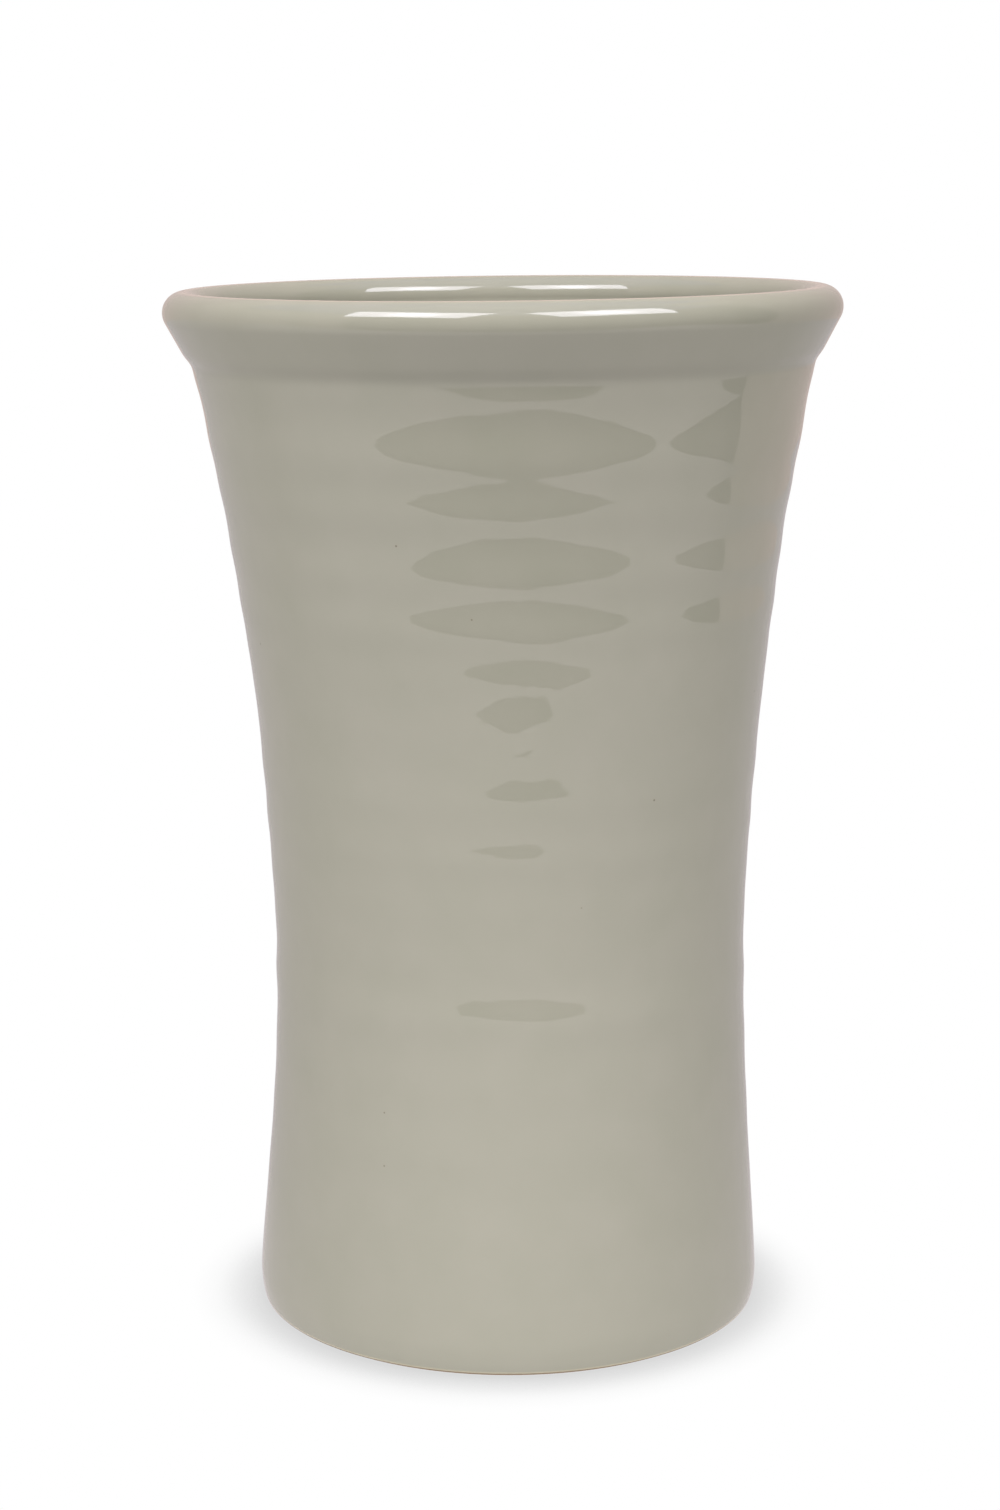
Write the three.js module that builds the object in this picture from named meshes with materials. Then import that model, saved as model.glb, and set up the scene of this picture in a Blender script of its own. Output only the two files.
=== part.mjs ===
// Brush holder pot: thrown stoneware with a rolled lip, glazed inside and out.
// Millimetres, +Z up. The origin is the middle of the foot, on the surface it stands on.
import * as THREE from 'three';

// ---- driving dimensions ----
const potHeight = 180;
const roundSides = 48; // facets round each piece

const foot = {
  heelRadius: 44.9, // widest point of the base
  heelHeight: 5,
  contactRadius: 44.4, // outer edge of the glaze's line at the table
  ringWidth: 6.5, // flat ring that the pot stands on
  recess: 1.6, // turned hollow inside the ring
  chamfer: 0.3,
  bareHeight: 0.4, // unglazed clay showing under the outer coat
};

const wall = {
  waistRadius: 41.6,
  waistHeight: 65,
  neckRadius: 53.1, // just under the lip
  neckHeight: 166,
  thicknessAtFoot: 6.0,
  thicknessAtNeck: 4.6,
};

// How far the control points of the outside curve lie from its ends.
const bend = {
  footBulge: 0.4, // share of the heel's height where it turns in to the foot
  aboveHeel: { inward: 0.7, up: 14 },
  belowWaist: 28,
  aboveWaist: 10,
  belowNeck: { inward: 9.7, down: 43.9 },
};

const lip = {
  rollRadius: 3.6,
  crestRadius: 54.6, // radius of the circle that the crest runs along
  undersideAngle: 28, // degrees between the cone under the lip and the axis
  underHeight: 169.6, // where that cone leaves the wall
  innerAngle: 190, // degrees round the roll where the inner wall takes over
};

const floor = { top: 8.0, cornerRadius: 9 };
const glazeThickness = 0.5;
const shoulderDrop = 1; // the inner wall starts this far under the neck

// Straight lines that each stretch of the outlines is cut into.
const cuts = { heel: 3, lower: 6, upper: 8, outerLip: 6, innerLip: 5, innerWall: 9, corner: 4 };

// ---- materials ----
const stoneware = new THREE.MeshStandardMaterial({ color: 0x93887b, roughness: 0.85, metalness: 0 });
const celadon = new THREE.MeshStandardMaterial({ color: 0xaaa897, roughness: 0.12, metalness: 0 });
const liner = new THREE.MeshStandardMaterial({ color: 0xa3a28c, roughness: 0.12, metalness: 0 });

// ---- outlines, as [radius, height] points ----
const point = (radius, height) => new THREE.Vector2(radius, height);

const lipCentreHeight = potHeight - lip.rollRadius;

function onLip(degrees) {
  const angle = THREE.MathUtils.degToRad(degrees);
  return point(
    lip.crestRadius + lip.rollRadius * Math.cos(angle),
    lipCentreHeight + lip.rollRadius * Math.sin(angle),
  );
}

function lipArc(from, to, steps) {
  return Array.from({ length: steps + 1 }, (_, i) => onLip(from + ((to - from) * i) / steps));
}

// Outside of the pot, from the table up to the crest of the lip.
function outerOutline() {
  const { heelRadius, heelHeight, contactRadius, bareHeight } = foot;
  const { waistRadius, waistHeight, neckRadius, neckHeight } = wall;
  const heel = new THREE.QuadraticBezierCurve(
    point(contactRadius, bareHeight),
    point(heelRadius, heelHeight * bend.footBulge),
    point(heelRadius, heelHeight),
  );
  const lower = new THREE.CubicBezierCurve(
    point(heelRadius, heelHeight),
    point(heelRadius - bend.aboveHeel.inward, heelHeight + bend.aboveHeel.up),
    point(waistRadius, waistHeight - bend.belowWaist),
    point(waistRadius, waistHeight),
  );
  const upper = new THREE.CubicBezierCurve(
    point(waistRadius, waistHeight),
    point(waistRadius, waistHeight + bend.aboveWaist),
    point(neckRadius - bend.belowNeck.inward, neckHeight - bend.belowNeck.down),
    point(neckRadius, neckHeight),
  );
  const underLip = onLip(-lip.undersideAngle);
  const slope = Math.tan(THREE.MathUtils.degToRad(lip.undersideAngle));
  const coneFoot = point(underLip.x - slope * (underLip.y - lip.underHeight), lip.underHeight);
  return [
    ...heel.getPoints(cuts.heel),
    ...lower.getPoints(cuts.lower).slice(1),
    ...upper.getPoints(cuts.upper).slice(1),
    coneFoot,
    ...lipArc(-lip.undersideAngle, 90, cuts.outerLip),
  ];
}

// Outside radius at a height, for setting the inside off from it.
function outerRadiusAt(height) {
  const outline = outerOutline();
  const i = outline.findIndex((p, n) => n > 0 && p.y >= height);
  const [a, b] = [outline[i - 1], outline[i]];
  return a.x + ((b.x - a.x) * (height - a.y)) / (b.y - a.y);
}

// Inside of the pot, from the crest of the lip down the wall to the middle of the floor.
function innerOutline() {
  const cornerTop = floor.top + floor.cornerRadius;
  const wallTop = wall.neckHeight - shoulderDrop;
  const innerRadiusAt = (height) => {
    const part = (height - cornerTop) / (wallTop - cornerTop);
    const thickness = THREE.MathUtils.lerp(wall.thicknessAtFoot, wall.thicknessAtNeck, part);
    return outerRadiusAt(height) - thickness;
  };
  const side = Array.from({ length: cuts.innerWall + 1 }, (_, i) => {
    const height = THREE.MathUtils.lerp(wallTop, cornerTop, i / cuts.innerWall);
    return point(innerRadiusAt(height), height);
  });
  const radiusAtCorner = side[cuts.innerWall].x;
  const corner = new THREE.EllipseCurve(
    radiusAtCorner - floor.cornerRadius, cornerTop,
    floor.cornerRadius, floor.cornerRadius,
    0, -Math.PI / 2, true,
  );
  return [
    ...lipArc(90, lip.innerAngle, cuts.innerLip),
    ...side,
    ...corner.getPoints(cuts.corner).slice(1),
    point(0, floor.top),
  ];
}

// The same outline moved along its own normals, to the left of its direction of travel.
function setOff(outline, distance) {
  return outline.map((p, i) => {
    const before = outline[Math.max(i - 1, 0)];
    const after = outline[Math.min(i + 1, outline.length - 1)];
    const along = after.clone().sub(before).normalize();
    const radius = p.x === 0 ? 0 : p.x - along.y * distance;
    return point(radius, p.y + along.x * distance);
  });
}

// ---- pieces ----
function turned(name, outline, material) {
  const geometry = new THREE.LatheGeometry(outline, roundSides);
  geometry.rotateX(Math.PI / 2);
  const mesh = new THREE.Mesh(geometry, material);
  mesh.name = name;
  return mesh;
}

const outside = outerOutline();
const inside = innerOutline();
const clayOutside = setOff(outside, glazeThickness);
const clayInside = setOff(inside, glazeThickness);

// The two coats meet on the crest, so the clay under it is one shared point.
const crest = point(lip.crestRadius, potHeight);
const clayCrest = point(lip.crestRadius, potHeight - glazeThickness);
clayOutside[clayOutside.length - 1] = clayCrest;
clayInside[0] = clayCrest;
outside[outside.length - 1] = crest;
inside[0] = crest;

function clayBody() {
  const contact = clayOutside[0].x - foot.chamfer;
  const ringInside = contact - foot.ringWidth;
  return turned('clay_body', [
    point(0, foot.recess),
    point(ringInside - foot.recess, foot.recess),
    point(ringInside, 0),
    point(contact, 0),
    ...clayOutside,
    ...clayInside.slice(1),
  ], stoneware);
}

function outerGlaze() {
  const closed = [...outside, ...clayOutside.slice().reverse(), outside[0]];
  return turned('outer_glaze', closed, celadon);
}

function innerGlaze() {
  return turned('inner_glaze', [...clayInside.slice().reverse(), ...inside], liner);
}

const pot = new THREE.Group();
pot.add(clayBody(), outerGlaze(), innerGlaze());

export default pot;
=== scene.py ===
import math
from functools import lru_cache
import bmesh
import bpy
from mathutils import Euler, Matrix, Vector, noise
from mathutils.geometry import interpolate_bezier


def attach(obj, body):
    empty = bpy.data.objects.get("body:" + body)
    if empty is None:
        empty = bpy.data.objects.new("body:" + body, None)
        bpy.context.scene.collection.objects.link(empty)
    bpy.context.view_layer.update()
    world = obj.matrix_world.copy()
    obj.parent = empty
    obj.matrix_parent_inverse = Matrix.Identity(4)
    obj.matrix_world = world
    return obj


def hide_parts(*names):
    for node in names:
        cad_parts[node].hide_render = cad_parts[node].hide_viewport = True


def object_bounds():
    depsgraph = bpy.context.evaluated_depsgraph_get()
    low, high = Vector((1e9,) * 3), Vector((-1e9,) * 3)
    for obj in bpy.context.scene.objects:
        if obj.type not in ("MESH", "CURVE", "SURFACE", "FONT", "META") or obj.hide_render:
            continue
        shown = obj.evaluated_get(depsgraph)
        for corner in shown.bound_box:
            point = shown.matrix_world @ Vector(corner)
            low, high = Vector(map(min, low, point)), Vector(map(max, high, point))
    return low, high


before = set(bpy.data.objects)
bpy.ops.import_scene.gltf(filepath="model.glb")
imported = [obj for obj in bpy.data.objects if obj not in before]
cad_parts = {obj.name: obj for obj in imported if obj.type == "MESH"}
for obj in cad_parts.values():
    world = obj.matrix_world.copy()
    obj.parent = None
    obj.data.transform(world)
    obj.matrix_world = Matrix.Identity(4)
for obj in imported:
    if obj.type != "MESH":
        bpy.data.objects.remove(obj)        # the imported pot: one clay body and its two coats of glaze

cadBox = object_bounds()
mm = 0.001
potTop = cadBox[1].z / mm
print("frame loaded, the pot is", round(potTop, 1), "mm tall")


def linear(hexColor):
    # an sRGB hex colour as the linear values that the shaders want
    parts = [int(hexColor[i:i + 2], 16) / 255 for i in (1, 3, 5)]
    return [p / 12.92 if p <= 0.04045 else ((p + 0.055) / 1.055) ** 2.4 for p in parts] + [1.0]


def addNode(tree, kind, settings, links=()):
    # settings go to the node's own attributes or to its sockets, links to its sockets
    node = tree.nodes.new(kind)
    for key, value in settings.items():
        if isinstance(key, str) and hasattr(node, key):
            setattr(node, key, value)
        else:
            node.inputs[key].default_value = value
    for key, socket in dict(links).items():
        tree.links.new(socket, node.inputs[key])
    return node


def newMaterial(name):
    material = bpy.data.materials.new(name)
    material.use_nodes = True
    material.node_tree.nodes.clear()
    return material


def smooth(low, high, value):
    t = min(max((value - low) / (high - low), 0.0), 1.0)
    return t * t * (3 - 2 * t)


# The outline, in millimetres: the CAD pieces' own but for a few tenths at the neck
potShape = {
    "contactRadius": 44.4,      # outer edge of the glaze at the table
    "heelRadius": 44.9,
    "heelHeight": 5.0,
    "waistRadius": 41.6,
    "waistHeight": 65.0,
    "neckRadius": 53.22,
    "neckHeight": 166.5,
    "throatHeight": 169.9,      # where the neck has turned into the cone under the lip
    "throatRun": 1.6,           # height of that turn's curve handle, along the cone
    "undersideAngle": 28.0,     # the cone, from the axis, in degrees
    "rollRadius": 3.6,
    "crestRadius": 54.6,
    "innerAngle": 190.0,        # round the roll to where the inner wall begins
    "shoulderDrop": 1,          # the inner wall starts this far under the neck
    "glazeThickness": 0.5,
    "bareFoot": 0.4,            # unglazed clay that shows at the table
    "footRing": 6.5,
    "footRecess": 1.6,
    "recessRun": 2,             # how far in from the ring the hollow has its full depth
    "recessBevel": 0.5,
    "footChamfer": 0.3,
    "wallAtFoot": 6.0,
    "wallAtNeck": 4.6,
    "floorTop": 8.0,
    "floorCorner": 9.0,
}

# Where the curve handles lie from the ends of their curves: outwards and up
potBends = {
    "aboveFootEdge": (0.3, 0.9),
    "belowHeel": (0, -2),
    "aboveHeel": (-0.7, 14),
    "belowWaist": (0, -28),
    "aboveWaist": (0, 10),
    "belowNeck": (-9.7, -43.9),
    "aboveNeck": (0.4, 1.6),
    "belowLip": (-0.6, -3),
    "aboveWall": (0.7, 3),
}

# Straight lines in each stretch of the outline, from the foot over the lip to the floor
potCuts = {
    "foot": 8, "lower": 60, "upper": 100, "neck": 12, "cone": 6, "outerLip": 20,
    "innerLip": 18, "shoulder": 10, "corner": 10, "floor": 16,
}
lipCentre = Vector((potShape["crestRadius"], 0, potTop - potShape["rollRadius"]))


def place(radius, height):
    return Vector((radius, 0, height))


def bend(name):
    return place(*potBends[name])


def onLip(degrees):
    angle = math.radians(degrees)
    return lipCentre + potShape["rollRadius"] * Vector((math.cos(angle), 0, math.sin(angle)))


def lipArc(start, end, steps):
    return [onLip(start + (end - start) * i / steps) for i in range(steps + 1)]


def outerOutline():
    # from the glaze's edge at the foot up to the crest of the lip
    s, cuts = potShape, potCuts
    under = onLip(-s["undersideAngle"])
    slope = math.tan(math.radians(s["undersideAngle"]))
    throat = place(under.x - slope * (under.z - s["throatHeight"]), s["throatHeight"])
    belowThroat = throat - place(slope * s["throatRun"], s["throatRun"])
    footEdge = place(s["contactRadius"], s["bareFoot"])
    heel = place(s["heelRadius"], s["heelHeight"])
    waist = place(s["waistRadius"], s["waistHeight"])
    neck = place(s["neckRadius"], s["neckHeight"])
    # the last stretch is straight, so its handles lie at the thirds
    curves = [
        (footEdge, footEdge + bend("aboveFootEdge"), heel + bend("belowHeel"), heel, cuts["foot"]),
        (heel, heel + bend("aboveHeel"), waist + bend("belowWaist"), waist, cuts["lower"]),
        (waist, waist + bend("aboveWaist"), neck + bend("belowNeck"), neck, cuts["upper"]),
        (neck, neck + bend("aboveNeck"), belowThroat, throat, cuts["neck"]),
        (throat, throat.lerp(under, 0.33), throat.lerp(under, 0.67), under, cuts["cone"]),
    ]
    outline = []
    for start, handle1, handle2, end, steps in curves:
        outline += interpolate_bezier(start, handle1, handle2, end, steps + 1)[:-1]
    return outline + lipArc(-s["undersideAngle"], 90, cuts["outerLip"])


def innerOutline(outside):
    # from the crest down the wall to the middle of the floor
    s, cuts = potShape, potCuts
    cornerTop = s["floorTop"] + s["floorCorner"]
    wallTop = s["neckHeight"] - s["shoulderDrop"]
    side = []
    for p in reversed(outside):
        if cornerTop <= p.z <= wallTop:
            t = (p.z - cornerTop) / (wallTop - cornerTop)
            thickness = s["wallAtFoot"] + (s["wallAtNeck"] - s["wallAtFoot"]) * t
            side.append(place(p.x - thickness, p.z))
    lip = lipArc(90, s["innerAngle"], cuts["innerLip"])
    shoulder = interpolate_bezier(lip[-1], lip[-1] + bend("belowLip"),
                                  side[0] + bend("aboveWall"), side[0], cuts["shoulder"])
    centre = side[-1] - place(s["floorCorner"], 0)
    corner = []
    for i in range(1, cuts["corner"] + 1):
        angle = math.radians(90 * i / cuts["corner"])
        corner.append(centre + s["floorCorner"] * Vector((math.cos(angle), 0, -math.sin(angle))))
    middle = place(0, s["floorTop"])
    floorLine = [corner[-1].lerp(middle, i / cuts["floor"]) for i in range(1, cuts["floor"] + 1)]
    return lip[:-1] + shoulder[:-1] + side + corner + floorLine


def setOff(outline, distance):
    # the outline moved to the left of its own direction of travel
    moved = []
    for i, p in enumerate(outline):
        along = (outline[min(i + 1, len(outline) - 1)] - outline[max(i - 1, 0)]).normalized()
        moved.append(place(max(p.x - along.z * distance, 0), p.z + along.x * distance))
    return moved


# What the thrower's hands did to the true outline, in millimetres
handWork = {
    # finger rings from the lip down: crest height, swell, width
    "rings": [
        (165.7, 0.15, 1.9), (154.3, 0.27, 2.9), (146.2, 0.215, 2.4), (135.5, 0.18, 2.4),
        (126.4, 0.20, 2.4), (118.9, 0.042, 1.8), (117, 0.04, 5.0), (111, 0.023, 2.2),
        (97.6, 0.096, 2.1), (88.4, 0.118, 2.0), (79, 0.05, 2.4), (71, 0.05, 2.4),
        (60.3, 0.165, 2.2), (49, 0.06, 2.4), (37, 0.06, 2.4), (24, 0.04, 2.4),
    ],
    "ringDrift": 0.9,          # how far a ring wanders up and down round the pot
    "swellChange": 0.3,        # share by which its swell comes and goes
    "ringsStart": (0, 12),     # heights over which the rings fade in above the foot
    "ringsEnd": (166.5, 170.5),
    # the lean: height, shift to the right
    "leanSteps": [(0, 0.0), (45, 0.35), (100, 0.05), (150, -0.65), (180, -1.1)],
    "lipTilt": 0.011,          # rise of the lip per millimetre to the right
    "tiltStart": (120, 176),
    "waveSize": 34.0,          # broad unevenness left by the hands
    "waveDepth": 0.05,
    "ripples": [(11.0, 0.045), (4.2, 0.018)],   # unevenness of the poured glaze, size and depth
    "unevenStart": (0.5, 6),   # the turned foot itself is true
}


def leanAt(height):
    steps = handWork["leanSteps"]
    for (lowHeight, lowShift), (highHeight, highShift) in zip(steps, steps[1:]):
        if height <= highHeight:
            return lowShift + (highShift - lowShift) * smooth(lowHeight, highHeight, height)
    return steps[-1][1]


@lru_cache(maxsize=None)
def ringDrift(ring, sideX, sideY):
    # how far one ring wanders up, and how its swell changes, at one place round the pot;
    # each ring reads its own slice of the noise
    driftPlace = Vector((sideX, sideY, ring * 7.3))
    swellPlace = Vector((1.5 * sideX, 1.5 * sideY, ring * 3.1 + 50))
    up = handWork["ringDrift"] * noise.noise(driftPlace)
    swell = 1 + handWork["swellChange"] * noise.noise(swellPlace)
    return up, swell


def ringAt(height, side):
    # finger rings stand proud of the wall and wander a little round the pot
    total = 0.0
    for i, (crest, swell, width) in enumerate(handWork["rings"]):
        if abs(height - crest) < 5 * width:
            up, strength = ringDrift(i, round(side.x, 4), round(side.y, 4))
            gap = (height - crest - up) / width
            total += swell * strength * math.exp(-gap * gap / 2)
    return total


def handThrown(mesh):
    # each point of a turned piece moves out with the rings and leans with the pot;
    # its true height and its distance from the crest stay on it for the glaze to read
    farFromCrest = 20
    rippleShift = Vector((9, 4, 2))
    up = mesh.attributes.new("heightOnPot", "FLOAT", "POINT")
    crest = mesh.attributes.new("fromCrest", "FLOAT", "POINT")
    for v in mesh.vertices:
        flat = Vector((v.co.x, v.co.y, 0))
        radius, height = flat.length, v.co.z
        side = flat.normalized()
        aroundLip = math.atan2(height - lipCentre.z, radius - lipCentre.x) - math.pi / 2
        onRoll = height > lipCentre.z - 1
        fromCrest = potShape["rollRadius"] * abs(aroundLip) if onRoll else farFromCrest
        crest.data[v.index].value = fromCrest
        up.data[v.index].value = height
        ringShare = smooth(*handWork["ringsStart"], height)
        ringShare *= 1 - smooth(*handWork["ringsEnd"], height)
        wave = noise.noise(v.co / handWork["waveSize"]) * handWork["waveDepth"]
        ripple = sum(depth * noise.noise(v.co / size + rippleShift)
                     for size, depth in handWork["ripples"])
        uneven = (wave + ripple) * smooth(*handWork["unevenStart"], height)
        v.co += side * (ringAt(height, side) * ringShare + uneven)
        v.co.z += handWork["lipTilt"] * flat.x * smooth(*handWork["tiltStart"], height)
        v.co.x += leanAt(height)
    mesh.transform(Matrix.Scale(mm, 4))


def turnedPiece(name, outline, closed, steps):
    # an outline spun round the axis into one closed shape
    bm = bmesh.new()
    points = [bm.verts.new(p) for p in outline]
    for a, b in zip(points, points[1:] + points[:1] if closed else points[1:]):
        bm.edges.new((a, b))
    bmesh.ops.spin(bm, geom=bm.verts[:] + bm.edges[:], cent=(0, 0, 0), axis=(0, 0, 1),
                   angle=2 * math.pi, steps=steps, use_merge=True, use_duplicate=False)
    nearAxis = 0.01            # the spin leaves a ring of points this close to each pole
    poles = [v for v in bm.verts if v.co.xy.length < nearAxis]
    bmesh.ops.remove_doubles(bm, verts=poles, dist=nearAxis / 5)
    bmesh.ops.recalc_face_normals(bm, faces=bm.faces[:])
    for face in bm.faces:
        face.smooth = True
    mesh = bpy.data.meshes.new(name)
    bm.to_mesh(mesh)
    bm.free()
    handThrown(mesh)
    piece = bpy.data.objects.new(name, mesh)
    bpy.context.scene.collection.objects.link(piece)
    print(name, "turned,", len(mesh.polygons), "faces")
    return piece


# Celadon: a glossy feldspar glaze with a little iron, so a soft grey green that breaks
# warm and pale where it runs thin on an edge and deepens where it pools
celadonLook = {
    "body": "#A7A396",
    "pooled": "#A09E8F",
    "thin": "#CDBAA8",
    "crestBreak": (0.4, 1.2),  # millimetres from the crest over which the thin line fades
    "crestShare": 0.8,
    "thinAtFoot": "#C9BE9F",
    "footBreak": (0.6, 1.0),   # heights over which the pale line at the foot fades
    "footShare": 0.7,
    "toasted": "#765F40",      # the glaze's own last edge, stained by the clay
    "toastedEdge": (0.5, 0.64),
    "toastedShare": 0.9,
    "roughness": 0.0,
    "ior": 1.5,
    "mottleSize": 9.0,         # millimetres across a cloud in the glaze
    "grainSize": 2.2,
    "grainDepth": 0.006,
    "iron": "#5C4E3C",
    "speckSpacing": 3.0,
    "speckSize": 0.22,         # radius of an iron speck
    "speckShade": 0.6,
    "speckShare": 0.03,        # share of the places for a speck that have one
}


def celadonMaterial():
    look = celadonLook
    material = newMaterial("celadonGlaze")
    tree = material.node_tree
    where = addNode(tree, "ShaderNodeTexCoord", {})
    crest = addNode(tree, "ShaderNodeAttribute", {"attribute_name": "fromCrest"})
    height = addNode(tree, "ShaderNodeAttribute", {"attribute_name": "heightOnPot"})

    # soft clouds, then the lines where the glaze breaks on the crest and at the foot
    cloud = addNode(tree, "ShaderNodeTexNoise",
                    {"Scale": 1000 / look["mottleSize"], "Detail": 3.0},
                    {"Vector": where.outputs["Object"]})
    body = addNode(tree, "ShaderNodeMix",
                   {"data_type": "RGBA", 6: linear(look["body"]), 7: linear(look["pooled"])},
                   {0: cloud.outputs["Fac"]})
    crestLine = addNode(tree, "ShaderNodeMapRange",
                        {"interpolation_type": "SMOOTHSTEP",
                         "From Min": look["crestBreak"][0], "From Max": look["crestBreak"][1],
                         "To Min": look["crestShare"], "To Max": 0.0},
                        {"Value": crest.outputs["Fac"]})
    broken = addNode(tree, "ShaderNodeMix", {"data_type": "RGBA", 7: linear(look["thin"])},
                     {0: crestLine.outputs["Result"], 6: body.outputs[2]})
    footLine = addNode(tree, "ShaderNodeMapRange",
                       {"interpolation_type": "SMOOTHSTEP",
                        "From Min": look["footBreak"][0], "From Max": look["footBreak"][1],
                        "To Min": look["footShare"], "To Max": 0.0},
                       {"Value": height.outputs["Fac"]})
    footPale = addNode(tree, "ShaderNodeMix",
                       {"data_type": "RGBA", 7: linear(look["thinAtFoot"])},
                       {0: footLine.outputs["Result"], 6: broken.outputs[2]})
    lastEdge = addNode(tree, "ShaderNodeMapRange",
                       {"interpolation_type": "SMOOTHSTEP",
                        "From Min": look["toastedEdge"][0], "From Max": look["toastedEdge"][1],
                        "To Min": look["toastedShare"], "To Max": 0.0},
                       {"Value": height.outputs["Fac"]})
    edged = addNode(tree, "ShaderNodeMix", {"data_type": "RGBA", 7: linear(look["toasted"])},
                    {0: lastEdge.outputs["Result"], 6: footPale.outputs[2]})

    # iron specks, on a few of the cells of an even scatter
    speckEdge = look["speckSize"] / look["speckSpacing"]
    seeds = addNode(tree, "ShaderNodeTexVoronoi", {"Scale": 1000 / look["speckSpacing"]},
                    {"Vector": where.outputs["Object"]})
    dot = addNode(tree, "ShaderNodeMapRange",
                  {"From Min": speckEdge / 2, "From Max": speckEdge,
                   "To Min": look["speckShade"], "To Max": 0.0},
                  {"Value": seeds.outputs["Distance"]})
    tint = addNode(tree, "ShaderNodeSeparateColor", {}, {"Color": seeds.outputs["Color"]})
    chosen = addNode(tree, "ShaderNodeMath", {"operation": "LESS_THAN", 1: look["speckShare"]},
                     {0: tint.outputs["Red"]})
    speck = addNode(tree, "ShaderNodeMath", {"operation": "MULTIPLY"},
                    {0: dot.outputs["Result"], 1: chosen.outputs["Value"]})
    spotted = addNode(tree, "ShaderNodeMix", {"data_type": "RGBA", 7: linear(look["iron"])},
                      {0: speck.outputs["Value"], 6: edged.outputs[2]})

    # the fine unevenness of a fired glaze's skin
    peel = addNode(tree, "ShaderNodeTexNoise",
                   {"Scale": 1000 / look["grainSize"], "Detail": 1.0},
                   {"Vector": where.outputs["Object"]})
    skin = addNode(tree, "ShaderNodeBump",
                   {"Strength": 1.0, "Distance": look["grainDepth"] * mm},
                   {"Height": peel.outputs["Fac"]})
    shader = addNode(tree, "ShaderNodeBsdfPrincipled",
                     {"Roughness": look["roughness"], "IOR": look["ior"]},
                     {"Base Color": spotted.outputs[2], "Normal": skin.outputs["Normal"]})
    addNode(tree, "ShaderNodeOutputMaterial", {}, {"Surface": shader.outputs["BSDF"]})
    return material


# Iron-bearing stoneware, toasted brown where the kiln's flame reached the bare clay
stonewareLook = {
    "clay": "#9C7343",
    "speck": "#7A552F",
    "roughness": 0.85,
    "ior": 1.5,
    "gritSize": 0.5,
}


def stonewareMaterial():
    look = stonewareLook
    material = newMaterial("bareStoneware")
    tree = material.node_tree
    where = addNode(tree, "ShaderNodeTexCoord", {})
    grit = addNode(tree, "ShaderNodeTexNoise", {"Scale": 1000 / look["gritSize"], "Detail": 2.0},
                   {"Vector": where.outputs["Object"]})
    colour = addNode(tree, "ShaderNodeMix",
                     {"data_type": "RGBA", 6: linear(look["clay"]), 7: linear(look["speck"])},
                     {0: grit.outputs["Fac"]})
    shader = addNode(tree, "ShaderNodeBsdfPrincipled",
                     {"Roughness": look["roughness"], "IOR": look["ior"]},
                     {"Base Color": colour.outputs[2]})
    addNode(tree, "ShaderNodeOutputMaterial", {}, {"Surface": shader.outputs["BSDF"]})
    return material


outside = outerOutline()
inside = innerOutline(outside)
glaze = potShape["glazeThickness"]
clayOutside = setOff(outside, glaze)
clayInside = setOff(inside, glaze)
clayOutside[-1] = clayInside[0] = place(potShape["crestRadius"], potTop - glaze)
clayInside[-1] = place(0, potShape["floorTop"] - glaze)

celadon = celadonMaterial()
stoneware = stonewareMaterial()
print("glaze and clay materials made")

# The side of a coat that lies on the clay is hidden, so it has a quarter of the points
coatCut = {"roundSteps": 320, "hiddenStep": 4, "fineUnderCrest": 12}
fine, hidden = coatCut["fineUnderCrest"], coatCut["hiddenStep"]
downClay = clayOutside[::-1]
outerCoat = turnedPiece("outerCoat", outside + downClay[:fine] + downClay[fine::hidden],
                        True, coatCut["roundSteps"])
upClay = clayInside[::-1][::hidden]
if upClay[-1] != clayInside[0]:
    upClay.append(clayInside[0])
innerCoat = turnedPiece("innerCoat", upClay + inside, False, coatCut["roundSteps"])

# The clay shows at the foot alone
clayCut = {"roundSteps": 128, "step": 3}
footOuter = clayOutside[0].x - potShape["footChamfer"]
footInner = footOuter - potShape["footRing"]
recess, bevel = potShape["footRecess"], potShape["recessBevel"]
footOutline = [
    place(0, recess),
    place(footInner - potShape["recessRun"], recess),
    place(footInner - bevel, bevel),
    place(footInner, 0),
    place(footOuter, 0),
    place(clayOutside[0].x, potShape["footChamfer"]),
]
wallOutline = clayOutside[::clayCut["step"]] + clayInside[::clayCut["step"]] + [clayInside[-1]]
clay = turnedPiece("clayBody", footOutline + wallOutline, False, clayCut["roundSteps"])

for piece, node, slot, material in ((outerCoat, "outer_glaze", "celadon_glaze", celadon),
                                    (innerCoat, "inner_glaze", "celadon_glaze", celadon),
                                    (clay, "clay_body", "bare_stoneware", stoneware)):
    piece.data.materials.append(material)
    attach(piece, "root")
    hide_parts(node)

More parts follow.
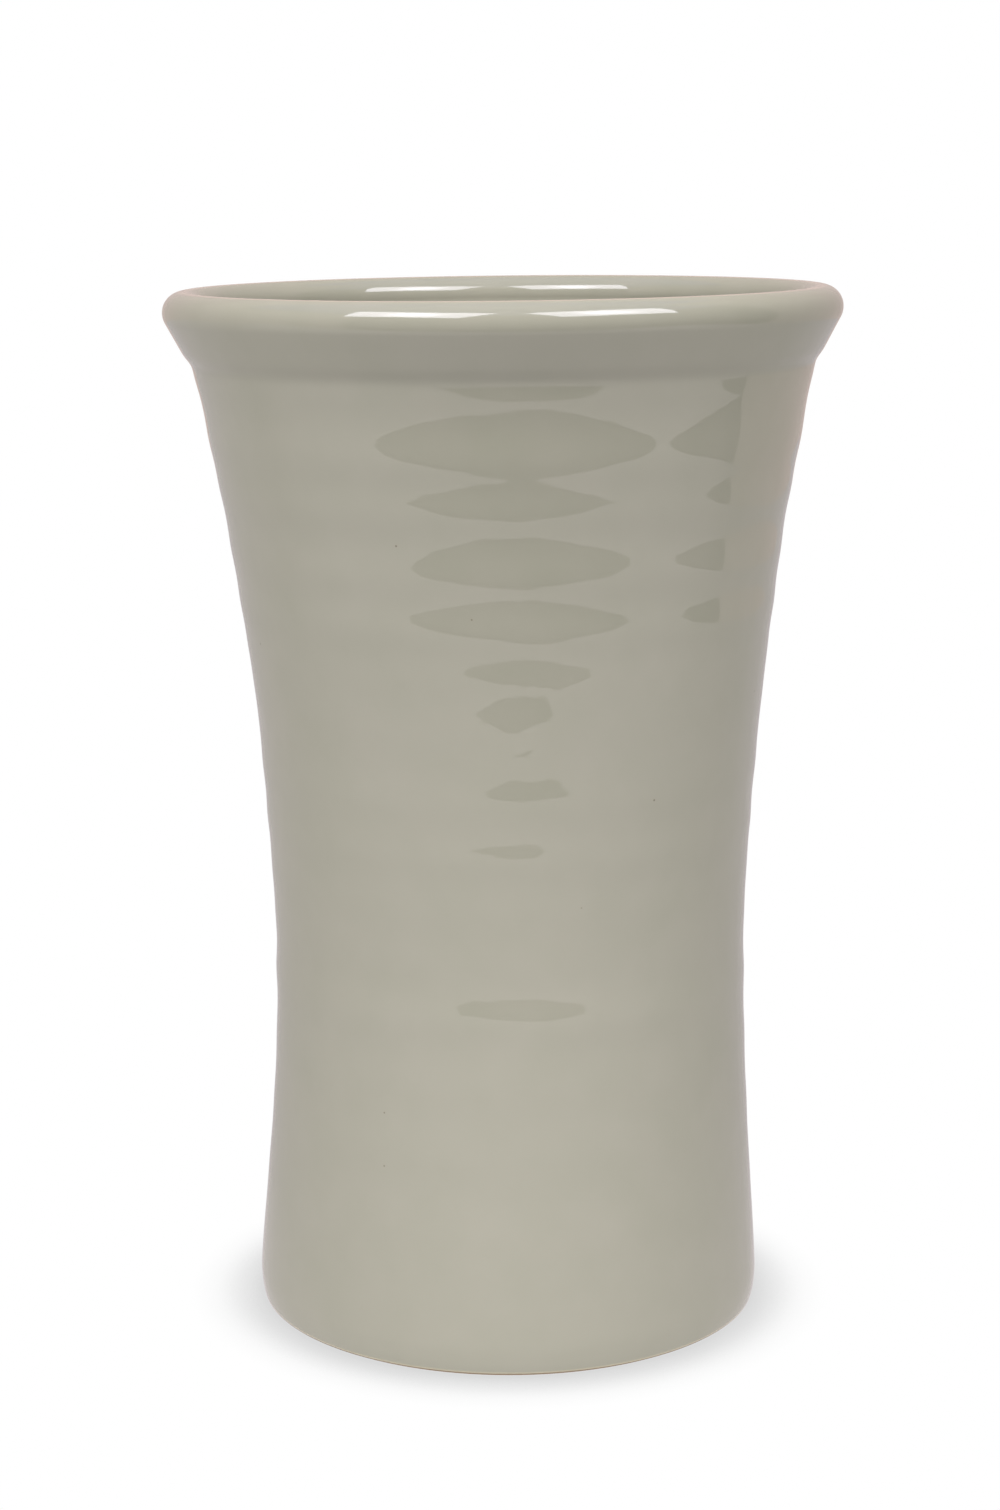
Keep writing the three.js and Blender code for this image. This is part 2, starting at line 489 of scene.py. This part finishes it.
# The room round the pot, in metres unless a note says otherwise
studio = {
    "floorSize": 8.0,
    "floorDrop": 0.00005,      # the sweep and the table lie just under the foot
    "shadowReach": 13.5,       # millimetres
    "shadeFrom": 0.5,          # openness at which the contact shadow is darkest
    "contactShade": 0.695,
    "worldFill": 0.08,
    "roomDark": 0.03,
    "leftAzimuth": -36.5, "rightAzimuth": 42.0, "boxElevation": 48.0,     # degrees
    "boxDistance": 1.0, "boxAim": 0.16,
    "boxWidth": 0.66, "boxHeight": 0.43,
    "leftPower": 9.5, "rightPower": 7.35,
    "boxShine": 9.0, "boxHotSpot": 8.0, "boxHotReach": 0.24,
    "boxTint": (1.0, 0.98, 1.08, 1),
    "tableFront": 0.310, "tableRight": 0.475, "tableLeft": 3.0, "tableBack": 1.3,
    "tableDrop": 0.0002,
    "tableTurn": 2.5,          # degrees
    "tableGlow": 1.19,
    "tableShine": 1.16, "tableFarShine": 0.60, "tableFade": (-0.22, 0.12),
    "tableTint": (1.0, 0.92, 0.94, 1),
    "roomDrop": 0.75,
    "roomTint": (0.05, 0.05, 0.05, 1),
    "boardCorners": [(1.0, 0.176), (1.0, 1.25), (-2.0, 1.25), (-2.0, -1.5)],
    "boardHeight": 2,          # as much again hangs below the table
    "boardShine": 0.66,
    "boardTint": (1.0, 0.83, 0.78, 1),
    "ceilingReach": 2, "ceilingHeight": 2.2,
    "ceilingShine": 0.60,
    "ceilingTint": (0.4, 0.45, 1.0, 1),
}
white = (1, 1, 1, 1)


def stageMaterial(name, colour, strength):
    # glowing at a strength, or plain matt at none
    material = newMaterial(name)
    tree = material.node_tree
    if strength:
        shader = addNode(tree, "ShaderNodeEmission", {"Color": colour, "Strength": strength})
    else:
        shader = addNode(tree, "ShaderNodeBsdfDiffuse", {"Color": colour})
    addNode(tree, "ShaderNodeOutputMaterial", {}, {"Surface": shader.outputs[0]})
    return material


def stagePlane(name, corners, material, seenBy):
    # a flat sheet that only one kind of ray can see
    bm = bmesh.new()
    bm.faces.new([bm.verts.new(c) for c in corners])
    mesh = bpy.data.meshes.new(name)
    bm.to_mesh(mesh)
    bm.free()
    mesh.materials.append(material)
    plane = bpy.data.objects.new(name, mesh)
    bpy.context.scene.collection.objects.link(plane)
    plane.visible_camera = seenBy == "camera"
    plane.visible_diffuse = seenBy == "diffuse"
    plane.visible_glossy = seenBy == "glossy"
    plane.visible_shadow = False
    return plane


def rectangle(x0, x1, y0, y1, z):
    return [(x0, y0, z), (x1, y0, z), (x1, y1, z), (x0, y1, z)]


def floorMaterial():
    # a white sweep glowing past white, with a painted contact shadow that darkens its glow only close
    # under the pot
    material = newMaterial("glowingSweepPaintedShadow")
    tree = material.node_tree
    # painted contact shadow: the nearness of the pot, read by ambient occlusion, dims the glow
    nearby = addNode(tree, "ShaderNodeAmbientOcclusion",
                     {"samples": 8, "Distance": studio["shadowReach"] * mm})
    shade = addNode(tree, "ShaderNodeMapRange",
                    {"interpolation_type": "SMOOTHSTEP",
                     "From Min": studio["shadeFrom"], "From Max": 1.0,
                     "To Min": studio["contactShade"], "To Max": 1.0},
                    {"Value": nearby.outputs["AO"]})
    shader = addNode(tree, "ShaderNodeEmission", {"Color": white},
                     {"Strength": shade.outputs["Result"]})
    addNode(tree, "ShaderNodeOutputMaterial", {}, {"Surface": shader.outputs[0]})
    return material


def tableMaterial():
    # the white table as the glaze mirrors it: a glowing sheet with a painted pool of light, brightest
    # in front of the pot under the lights
    material = newMaterial("litTable")
    tree = material.node_tree
    where = addNode(tree, "ShaderNodeTexCoord", {})
    axes = addNode(tree, "ShaderNodeSeparateXYZ", {}, {0: where.outputs["Object"]})
    level = addNode(tree, "ShaderNodeMapRange",
                    {"interpolation_type": "SMOOTHSTEP",
                     "From Min": studio["tableFade"][0], "From Max": studio["tableFade"][1],
                     "To Min": studio["tableShine"], "To Max": studio["tableFarShine"]},
                    {"Value": axes.outputs["Y"]})
    shader = addNode(tree, "ShaderNodeEmission", {"Color": studio["tableTint"]},
                     {"Strength": level.outputs["Result"]})
    addNode(tree, "ShaderNodeOutputMaterial", {}, {"Surface": shader.outputs[0]})
    return material


half = studio["floorSize"] / 2
stagePlane("studioFloor", rectangle(-half, half, -half, half, -studio["floorDrop"]),
           floorMaterial(), "camera")

# The glaze mirrors the table, and past the table's front and right edges the dark room
tableTurn = Matrix.Rotation(math.radians(studio["tableTurn"]), 3, "Z")
tableCorners = [tableTurn @ Vector(c) for c in rectangle(
    -studio["tableLeft"], studio["tableRight"],
    -studio["tableFront"], studio["tableBack"], -studio["tableDrop"])]
stagePlane("tableTop", tableCorners, tableMaterial(), "glossy")
stagePlane("tableBounce", tableCorners,
           stageMaterial("litTableBounce", white, studio["tableGlow"]), "diffuse")
stagePlane("roomFloor", rectangle(-half, half, -half, half, -studio["roomDrop"]),
           stageMaterial("darkFloorboards", studio["roomTint"], 0), "diffuse")

boardGlow = stageMaterial("whiteBackdrop", studio["boardTint"], studio["boardShine"])
boardHeight, boardCorners = studio["boardHeight"], studio["boardCorners"]
for name, start, end in zip(("rightBoard", "backBoard", "leftBoard"),
                            boardCorners, boardCorners[1:]):
    stagePlane(name, [(*start, -boardHeight), (*end, -boardHeight),
                      (*end, boardHeight), (*start, boardHeight)], boardGlow, "glossy")
reach = studio["ceilingReach"]
stagePlane("ceiling", rectangle(-reach, reach, -reach, reach, studio["ceilingHeight"]),
           stageMaterial("paleCeiling", studio["ceilingTint"], studio["ceilingShine"]), "glossy")
print("table and room built")


def clothMaterial():
    # the cloth of a softbox, brightest over its lamp
    material = newMaterial("softboxCloth")
    tree = material.node_tree
    where = addNode(tree, "ShaderNodeTexCoord", {})
    fromLamp = addNode(tree, "ShaderNodeVectorMath", {"operation": "LENGTH"},
                       {0: where.outputs["Object"]})
    heat = addNode(tree, "ShaderNodeMapRange",
                   {"interpolation_type": "SMOOTHERSTEP",
                    "From Min": 0.0, "From Max": studio["boxHotReach"],
                    "To Min": studio["boxShine"] + studio["boxHotSpot"],
                    "To Max": studio["boxShine"]},
                   {"Value": fromLamp.outputs["Value"]})
    shader = addNode(tree, "ShaderNodeEmission", {"Color": studio["boxTint"]},
                     {"Strength": heat.outputs["Result"]})
    addNode(tree, "ShaderNodeOutputMaterial", {}, {"Surface": shader.outputs[0]})
    return material


def areaLight(name, spot, width, height, power):
    lamp = bpy.data.lights.new(name, "AREA")
    lamp.shape = "RECTANGLE"
    lamp.size, lamp.size_y = width, height
    lamp.energy = power
    light = bpy.data.objects.new(name, lamp)
    bpy.context.scene.collection.objects.link(light)
    light.matrix_world = spot
    light.visible_glossy = False
    light.visible_camera = False


# Each softbox is a light for the pot's colour and a cloth for the glaze to mirror
aim = Vector((0, 0, studio["boxAim"]))
elevation = math.radians(studio["boxElevation"])
boxWidth, boxHeight = studio["boxWidth"], studio["boxHeight"]
clothCorners = rectangle(-boxWidth / 2, boxWidth / 2, -boxHeight / 2, boxHeight / 2, 0)
cloth = clothMaterial()
for name in ("left", "right"):
    azimuth = math.radians(studio[name + "Azimuth"])
    direction = Vector((math.sin(azimuth) * math.cos(elevation),
                        -math.cos(azimuth) * math.cos(elevation), math.sin(elevation)))
    turn = direction.to_track_quat("Z", "Y").to_matrix().to_4x4()
    spot = Matrix.Translation(aim + direction * studio["boxDistance"]) @ turn
    areaLight(name + "Softbox", spot, boxWidth, boxHeight, studio[name + "Power"])
    panel = stagePlane(name + "Cloth", clothCorners, cloth, "glossy")
    panel.matrix_world = spot

# White behind the pot, a dim fill on it, and darkness where the glaze mirrors no board
world = bpy.data.worlds.new("studioAir")
bpy.context.scene.world = world
world.use_nodes = True
tree = world.node_tree
tree.nodes.clear()
path = addNode(tree, "ShaderNodeLightPath", {})
fill = addNode(tree, "ShaderNodeBackground", {"Color": white, "Strength": studio["worldFill"]})
dark = addNode(tree, "ShaderNodeBackground", {"Color": white, "Strength": studio["roomDark"]})
behind = addNode(tree, "ShaderNodeBackground", {"Color": white, "Strength": 1.0})
around = addNode(tree, "ShaderNodeMixShader", {},
                 {0: path.outputs["Is Glossy Ray"], 1: fill.outputs[0], 2: dark.outputs[0]})
air = addNode(tree, "ShaderNodeMixShader", {},
              {0: path.outputs["Is Camera Ray"], 1: around.outputs[0], 2: behind.outputs[0]})
addNode(tree, "ShaderNodeOutputWorld", {}, {"Surface": air.outputs[0]})
print("softboxes and room light set")

# Metres, degrees and, for the lens, millimetres
cameraView = {
    "distance": 0.5171,
    "height": 0.20005,
    "pitch": 11.15,
    "turn": 0.17,
    "lens": 71.05,
    "sensor": 36.0,
}
lens = bpy.data.cameras.new("studioCamera")
lens.lens = cameraView["lens"]
lens.sensor_width = cameraView["sensor"]
lens.clip_start = 0.01
camera = bpy.data.objects.new("studioCamera", lens)
bpy.context.scene.collection.objects.link(camera)
camera.location = (0, -cameraView["distance"], cameraView["height"])
camera.rotation_euler = Euler((math.radians(90 - cameraView["pitch"]), 0,
                               math.radians(cameraView["turn"])))
bpy.context.scene.camera = camera
bpy.context.scene.view_settings.view_transform = "Standard"
print("camera set")
